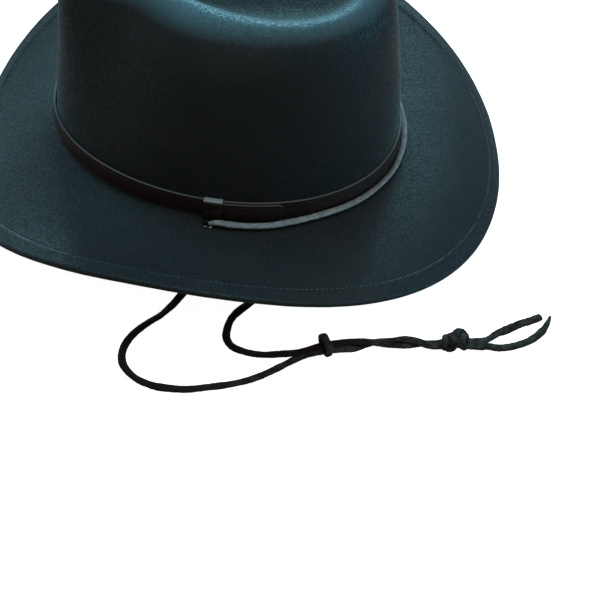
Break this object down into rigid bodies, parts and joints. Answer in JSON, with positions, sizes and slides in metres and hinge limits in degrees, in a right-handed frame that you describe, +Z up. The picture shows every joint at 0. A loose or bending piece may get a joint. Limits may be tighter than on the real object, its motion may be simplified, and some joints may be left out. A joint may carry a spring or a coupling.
{
  "type": "outback hat with chin lace",
  "caption": "Felt outback hat with a pinched teardrop crown, wide dipped brim, leather band and a chin lace with slide and knot.",
  "frame": {"origin": "on the surface that the hat rests on, under the middle of the brim", "axes": "+Z up, -Y towards the front of the hat, +X towards the wearer's left"},
  "size_m": [0.342, 0.3648, 0.1585],
  "materials": {
    "felt": "matte",
    "strap_leather": "satin",
    "lace_leather": "matte",
    "eyelet_metal": "aged"
  },
  "bodies": {
    "root": {"felt_body": "felt", "band_strap": "strap_leather", "band_tail": "strap_leather", "band_keeper": "strap_leather", "eyelet_left": "eyelet_metal", "eyelet_right": "eyelet_metal", "lace_back": "lace_leather", "lace_left": "lace_leather", "lace_right": "lace_leather", "lace_slide": "lace_leather", "lace_knot": "lace_leather", "lace_tail_a": "lace_leather", "lace_tail_b": "lace_leather"}
  },
  "joints": []
}
